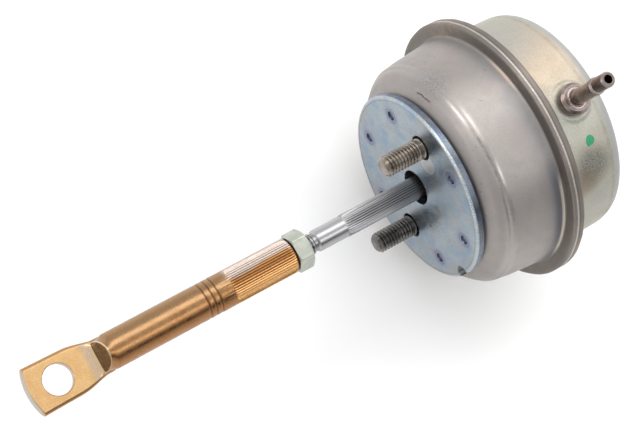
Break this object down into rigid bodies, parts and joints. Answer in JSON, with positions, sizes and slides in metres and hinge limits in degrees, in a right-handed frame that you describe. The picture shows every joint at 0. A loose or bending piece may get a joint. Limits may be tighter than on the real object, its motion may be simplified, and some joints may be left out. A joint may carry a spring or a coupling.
{
  "type": "wastegate actuator",
  "caption": "Sprung diaphragm can that pushes a rod with an adjustable flat eye to open a turbocharger's wastegate; two studs hold it and a hose nipple feeds it.",
  "frame": {"origin": "centre of the mounting plate's front face, on the rod's axis", "axes": "+X along the rod towards the eye; +Z along the hose nipple, which is also the way the eye's flat faces; +Y completes the right-handed frame"},
  "size_m": [0.1687, 0.0778, 0.0934],
  "materials": {
    "front_shell": "satin pressed steel with a warm grey plated finish, small scuffs",
    "rear_shell": "clear zinc with cream and peach tints and grey-green spots",
    "plate": "bluish clear zinc with violet heat tints round the welds",
    "inner_pressings": "plain zinc-plated pressings",
    "stud_bright": "warm plated steel thread",
    "stud_dark": "darker plated steel thread",
    "nipple": "dark nickel, turned",
    "washers": "zinc-plated washers and nut",
    "bush": "black graphite-filled bush",
    "spring": "oiled spring steel",
    "diaphragm_rubber": "fabric-reinforced silicone rubber",
    "piston": "zinc-plated pressing",
    "rod": "bright steel, rolled splines",
    "nut": "pale zinc plate",
    "gold_plate": "yellow-gold passivated steel"
  },
  "bodies": {
    "housing": {"front_housing": "front_shell", "rear_cap": "rear_shell", "mounting_plate": "plate", "stud_plate": "inner_pressings", "stud_upper": "stud_bright", "stud_lower": "stud_dark", "hose_nipple": "nipple", "nipple_washer": "washers", "guide_bush": "bush", "bush_retainer": "inner_pressings", "spring_seat": "inner_pressings", "return_spring": "spring", "diaphragm": "diaphragm_rubber"},
    "rod": {"actuator_rod": "rod", "piston_cup": "piston", "diaphragm_retainer": "piston", "piston_washer": "washers", "piston_nut": "washers"},
    "jam_nut": {"jam_nut": "nut"},
    "rod_end": {"rod_end": "gold_plate"}
  },
  "joints": [
    {"name": "rod_travel", "type": "slide", "parent": "housing", "child": "rod", "axis": [1, 0, 0], "range_m": [0, 0.012], "stiffness_N_per_m": 8000, "springref_m": -0.012, "deforming": ["return_spring", "diaphragm"]},
    {"name": "adjuster_travel", "type": "slide", "parent": "rod", "child": "jam_nut", "axis": [1, 0, 0], "range_m": [-0.0015, 0.006]},
    {"name": "rod_end_turn", "type": "hinge", "parent": "jam_nut", "child": "rod_end", "pos_m": [0.0425, 0, 0], "axis": [1, 0, 0], "range_deg": [-540, 2160]}
  ],
  "couplings": [
    {"joint": "rod_end_turn", "follows": "adjuster_travel", "rad_per_m": 6283.2}
  ]
}
